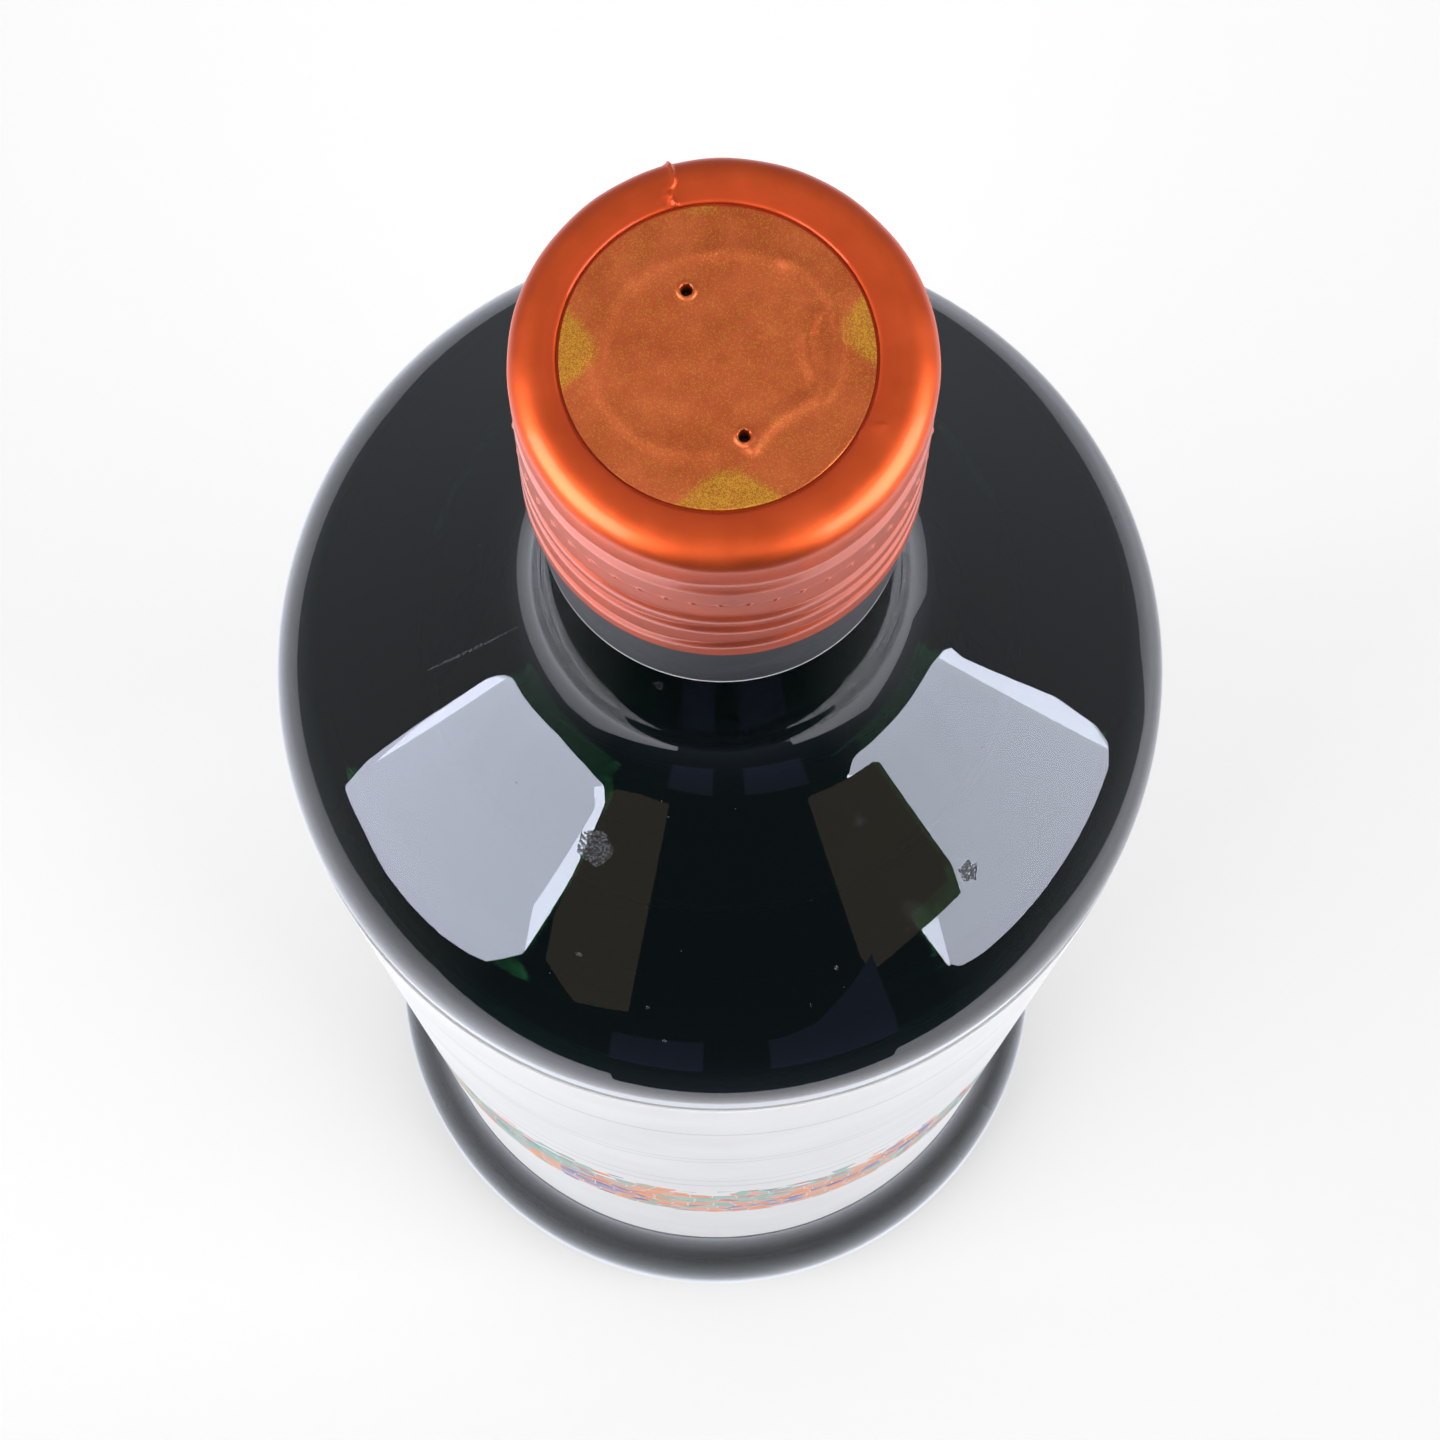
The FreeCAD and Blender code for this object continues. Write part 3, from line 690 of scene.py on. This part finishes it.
def on_shoulder(azimuth, radius, sideways, upwards, off):
    """Points on the glass: sideways from an azimuth and upwards from a radius along the shoulder's
    line, then off it square to the surface."""
    lean = np.interp(radius, shoulder_fall[:, 0], -shoulder_step[:, 1])
    reach = radius - upwards * np.sqrt(1.0 - lean ** 2)
    height = np.interp(reach, shoulder_fall[:, 0], shoulder_fall[:, 1])
    turn = np.radians(azimuth) + sideways / radius
    reach, height = reach + off * lean, height + off * np.sqrt(1.0 - lean ** 2)
    return np.stack([reach * np.sin(turn), -reach * np.cos(turn), height], axis=-1)


flake_grid = on_shoulder(flakes[:, 0][:, None, None], flakes[:, 1][:, None, None],
                         sideways, upwards, thick)
flake_middle = on_shoulder(flakes[:, 0], flakes[:, 1], 0.0, 0.0, flakes[:, 4])
flake_foot = on_shoulder(flakes[:, 0], flakes[:, 1], 0.0, 0.0, -0.5 * flakes[:, 4])
dust_points, dust_faces = [], []
for grid, foot, middle in zip(flake_grid, flake_foot, flake_middle):
    points, faces = poled(grid, foot, middle)
    start = sum(map(len, dust_points))
    dust_faces += [[start + corner for corner in face] for face in faces]
    dust_points.append(points)

dust_grey, tree, output = new_material("grey_dust")
place = add_node(tree, "ShaderNodeTexCoord").outputs["Object"]
crumb = noise(tree, place, 4200.0, 3.0, 0.7)
dust_shader = add_node(tree, "ShaderNodeBsdfPrincipled", {
    "Base Color": colour_steps(tree, crumb, [(0.35, (0.030, 0.034, 0.038)),
                                             (0.70, (0.100, 0.100, 0.105))]),
    "Roughness": 0.9, "Specular IOR Level": 0.2,
    "Alpha": ranged(tree, crumb, 0.39, 0.54, 0.0, 0.85)})
tree.links.new(dust_shader.outputs[0], output.inputs["Surface"])
dust = make_piece("shoulder_dust", np.concatenate(dust_points), dust_faces, dust_grey)
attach(dust, "root")

# ---------------------------------------------------------------------- the camera
# Above the front of the bottle and looking steeply down at its top, with a long lens.
camera_data = bpy.data.cameras.new("camera")
camera_data.lens, camera_data.sensor_width = 113.157, 36.0
camera_data.shift_x, camera_data.shift_y = 0.00045, -0.00726
camera_data.clip_start = 0.01
camera = bpy.data.objects.new("camera", camera_data)
camera.rotation_mode = "ZYX"
camera.rotation_euler = (math.radians(13.26), 0.0, math.radians(0.70))
camera.location = (0.0, -0.10254, 0.58924)
scene.collection.objects.link(camera)
scene.camera = camera

# ---------------------------------------------------------------------- the studio
# A white table with a dark room in front of it, a softbox on each side, and the pale room behind.
# Mirror-like pieces see the room; the camera sees only the white table and background.
table_edge = [(-0.44, 0.47), (-0.44, -0.03), (-0.42, -0.23), (-0.325, -0.285), (-0.12, -0.238),
              (0.0, -0.222), (0.12, -0.232), (0.37, -0.205), (0.33, -0.06), (0.32, 0.03),
              (0.50, 0.12), (0.50, 0.47)]
# how white the table looks in the glass: round the foot, left of it, near it, and farther off
foot_light, left_white, near_white, far_white = 1.0, 1.0, 0.50, 0.80
foot_reach, left_reach, near_reach = (0.046, 0.075), (-0.10, 0.0), (0.20, 0.26)
front_white, back_white, edge_white = 0.385, 0.54, 0.25
box_distance, box_half, box_low, box_high = 0.50, 0.233, 0.200, 0.70
lamp_level, seam_shine, seam_gap = 4.2, 1.75, 0.003
eye_height = 0.195


def stage_panel(name, outline, material):
    """A flat many-sided panel through the outline's corners, in metres."""
    mesh = bpy.data.meshes.new(name)
    mesh.from_pydata(np.asarray(outline).tolist(), [], [list(range(len(outline)))])
    mesh.materials.append(material)
    panel = bpy.data.objects.new(name, mesh)
    scene.collection.objects.link(panel)
    return panel


def seen_only_in(panel, **rays):
    """Sets which rays see the panel."""
    for ray in ("camera", "diffuse", "glossy", "transmission", "volume_scatter", "shadow"):
        setattr(panel, "visible_" + ray, rays.get(ray, False))


def lamp_material(name, colour, strength):
    """A plain shining surface."""
    material, tree, output = new_material(name)
    glow = add_node(tree, "ShaderNodeEmission", {"Color": (*colour, 1.0), "Strength": strength})
    tree.links.new(glow.outputs[0], output.inputs["Surface"])
    return material


def direct_rays(tree):
    """1 for camera, mirror and see-through rays, 0 for the light that falls on things."""
    path = add_node(tree, "ShaderNodeLightPath").outputs
    seen = math_node(tree, "MAXIMUM", path["Is Camera Ray"], path["Is Glossy Ray"])
    return math_node(tree, "MAXIMUM", seen, path["Is Transmission Ray"])


table_white, tree, output = new_material("white_table")
shaded = add_node(tree, "ShaderNodeBsdfDiffuse", {"Color": (0.55, 0.55, 0.55, 1.0)})
mirrored = add_node(tree, "ShaderNodeLightPath").outputs["Is Glossy Ray"]
spot = add_node(tree, "ShaderNodeTexCoord").outputs["Object"]
from_axis = add_node(tree, "ShaderNodeVectorMath", {0: spot}, operation="LENGTH").outputs["Value"]
split = add_node(tree, "ShaderNodeSeparateXYZ", {"Vector": spot}).outputs
# Painted light: in the glass the table glows brightest round the foot and to its left, dimmer near
# it, and a little brighter farther off.
beside_white = ranged(tree, split["X"], *left_reach, left_white, near_white)
near_foot = add_node(tree, "ShaderNodeMix", {
    0: ranged(tree, from_axis, *near_reach), 2: beside_white, 3: far_white}).outputs[0]
near_foot = add_node(tree, "ShaderNodeMix", {
    0: ranged(tree, from_axis, *foot_reach), 2: foot_light, 3: near_foot}).outputs[0]
# Painted shade: to the camera the table glows darker at the front than at the back, and lighter
# towards its edges.
farther = math_node(tree, "SUBTRACT", split["Y"], math_node(tree, "MULTIPLY", split["X"], 0.25))
seen_white = math_node(tree, "ADD", ranged(tree, farther, -0.055, 0.045, front_white, back_white),
                       ranged(tree, from_axis, 0.24, 0.45, 0.0, edge_white))
own = add_node(tree, "ShaderNodeEmission", {
    "Color": mix_colour(tree, mirrored, (1.0, 1.0, 1.0, 1.0), (0.92, 0.97, 1.14, 1.0)),
    "Strength": math_node(tree, "MULTIPLY", direct_rays(tree), add_node(
        tree, "ShaderNodeMix", {0: mirrored, 2: seen_white, 3: near_foot}).outputs[0])})
both = add_node(tree, "ShaderNodeAddShader", {0: shaded.outputs[0], 1: own.outputs[0]})
tree.links.new(both.outputs[0], output.inputs["Surface"])
stage_panel("table", [(x, y, 0.0) for x, y in table_edge], table_white)


def across_plane(azimuth, distance, outline):
    """The outline's points (along, height) on the upright plane that faces the axis at that
    azimuth and distance; along counts from its middle in the direction of growing azimuth."""
    a = math.radians(azimuth)
    out, on = np.array([math.sin(a), -math.cos(a), 0.0]), np.array([math.cos(a), math.sin(a), 0.0])
    return [out * distance + on * s + np.array([0.0, 0.0, z]) for s, z in outline]


def softbox(name, azimuth, outline, colour, seams):
    """A flat shining panel that mirror-like pieces see, with brighter seams, and in the same place
    a lamp of its size that lights the rest."""
    for number, points in enumerate([outline] + seams):
        shine = tuple(channel * (seam_shine if number else 1.0) for channel in colour)
        panel_name = f"{name}_{number}"
        plane = across_plane(azimuth, box_distance - seam_gap * number, points)
        seen_only_in(stage_panel(panel_name, plane, lamp_material(panel_name, shine, 1.0)),
                     glossy=True, transmission=True)
    lamp = bpy.data.lights.new(name + "_lamp", "AREA")
    lamp.shape, lamp.size, lamp.size_y = "RECTANGLE", 2.0 * box_half, box_high - box_low
    lamp.energy = lamp_level * math.pi * lamp.size * lamp.size_y
    lamp_object = bpy.data.objects.new(name + "_lamp", lamp)
    lamp_object.location = across_plane(azimuth, box_distance, [(0, (box_low + box_high) / 2)])[0]
    lamp_object.rotation_euler = (math.radians(90.0), 0.0, math.radians(azimuth))
    lamp_object.visible_glossy = lamp_object.visible_transmission = False
    scene.collection.objects.link(lamp_object)


softbox("left_softbox", -59.5,
        [(-0.208, 0.208), (-0.196, 0.197), (-0.175, 0.192), (-0.111, 0.202), (0.022, 0.217),
         (0.125, 0.238), (0.207, 0.259), (0.229, 0.284), (0.244, 0.300), (0.244, box_high),
         (-0.212, box_high), (-0.214, 0.222)], (8.4, 8.8, 10.7),
        [[(-0.204, 0.208), (-0.185, 0.200), (-0.185, box_high), (-0.211, box_high),
          (-0.213, 0.222)],
         [(0.207, 0.259), (0.244, 0.295), (0.236, 0.318), (0.182, 0.264)]])
softbox("right_softbox", 65.5,
        [(-0.258, 0.284), (-0.215, 0.252), (-0.172, 0.226), (-0.150, 0.214), (-0.045, 0.204),
         (0.040, 0.196), (0.110, 0.185), (0.170, 0.177), (0.222, 0.177), (0.239, 0.184),
         (0.228, 0.206), (0.228, box_high), (-0.258, box_high)], (7.2, 7.6, 9.1),
        [[(0.195, 0.178), (0.221, 0.178), (0.237, 0.185), (0.227, 0.206), (0.227, box_high),
          (0.200, box_high)],
         [(-0.210, 0.247), (-0.258, 0.284), (-0.250, 0.306), (-0.186, 0.252)]])


def card(name, azimuth, distance, outline, colour):
    """A flat card that only mirror-like pieces see."""
    seen_only_in(stage_panel(name, across_plane(azimuth, distance, outline),
                             lamp_material(name, colour, 1.0)), glossy=True, transmission=True)


card_distance, card_top, stand_distance, stand_top = 0.42, 0.330, 0.18, 0.125
card_brown, stand_dark, navy = (0.45, 0.40, 0.34), (0.09, 0.12, 0.155), (0.155, 0.20, 0.34)
card("left_card", -25.0, card_distance,
     [(-0.071, 0.253), (-0.056, 0.246), (0.0, 0.245), (0.070, 0.251), (0.070, card_top),
      (-0.060, card_top)], card_brown)
card("right_card", 42.0, card_distance,
     [(-0.102, 0.253), (-0.094, 0.249), (-0.028, 0.243), (0.034, 0.237), (0.066, 0.234),
      (0.079, 0.238), (0.079, card_top), (-0.102, card_top)], card_brown)
card("dark_stand", 0.0, stand_distance,
     [(-0.055, 0.001), (0.104, 0.001), (0.104, stand_top), (-0.055, stand_top)], stand_dark)
card("left_cloth", 0.0, stand_distance,
     [(-0.055, stand_top), (-0.006, stand_top), (-0.006, 0.205), (-0.055, 0.200)], navy)
card("right_cloth", 0.0, stand_distance,
     [(0.028, stand_top), (0.104, stand_top), (0.104, 0.215), (0.028, 0.205)], navy)
room_rows, room_columns, room_radius = 90, 180, 1.1
room_turn = np.linspace(0.0, 2.0 * math.pi, room_columns, endpoint=False)
room_rise = np.radians(np.linspace(-88.0, 88.0, room_rows))
room_grid = turned(np.stack([room_radius * np.cos(room_rise),
                             eye_height + room_radius * np.sin(room_rise)], axis=1), room_turn)
room_points, room_faces = poled(room_grid, (0.0, 0.0, eye_height - room_radius),
                                (0.0, 0.0, eye_height + room_radius))
room_away = np.degrees(np.abs((room_turn + math.pi) % (2.0 * math.pi) - math.pi))[None]
front_share = np.clip((75.0 - room_away) / 35.0, 0.0, 1.0)[..., None]
low_share = np.clip((36.0 - np.degrees(room_rise)) / 18.0, 0.0, 1.0)[:, None, None]
side_grey, front_dark = np.array([0.40, 0.42, 0.47]), np.array([0.08, 0.12, 0.15])
ceiling = np.full(3, 0.56)
room_colour = (side_grey * (1.0 - front_share) + front_dark * front_share) * low_share \
    + ceiling * (1.0 - low_share)
room_colour = np.concatenate([room_colour.reshape(-1, 3), [front_dark, ceiling]])
room_shade, tree, output = new_material("room_shade")
shade = add_node(tree, "ShaderNodeAttribute", attribute_name="shade").outputs["Color"]
room_glow = add_node(tree, "ShaderNodeEmission", {"Color": shade, "Strength": 1.0})
tree.links.new(room_glow.outputs[0], output.inputs["Surface"])
room = make_piece("room", np.asarray(room_points) / MM, room_faces, room_shade)
room.data.attributes.new("shade", "FLOAT_COLOR", "POINT").data.foreach_set(
    "color", np.concatenate([room_colour, np.ones((len(room_colour), 1))], axis=1).ravel())
seen_only_in(room, glossy=True, transmission=True)

world = bpy.data.worlds.new("white_surroundings")
world.use_nodes = True
tree = world.node_tree
tree.nodes.clear()
level = ranged(tree, direct_rays(tree), 0.0, 1.0, 0.35, 1.0)
sky = add_node(tree, "ShaderNodeBackground", {"Color": (1.0, 1.0, 1.0, 1.0), "Strength": level})
world_output = add_node(tree, "ShaderNodeOutputWorld")
tree.links.new(sky.outputs[0], world_output.inputs["Surface"])
scene.world = world
scene.view_settings.view_transform = "Standard"
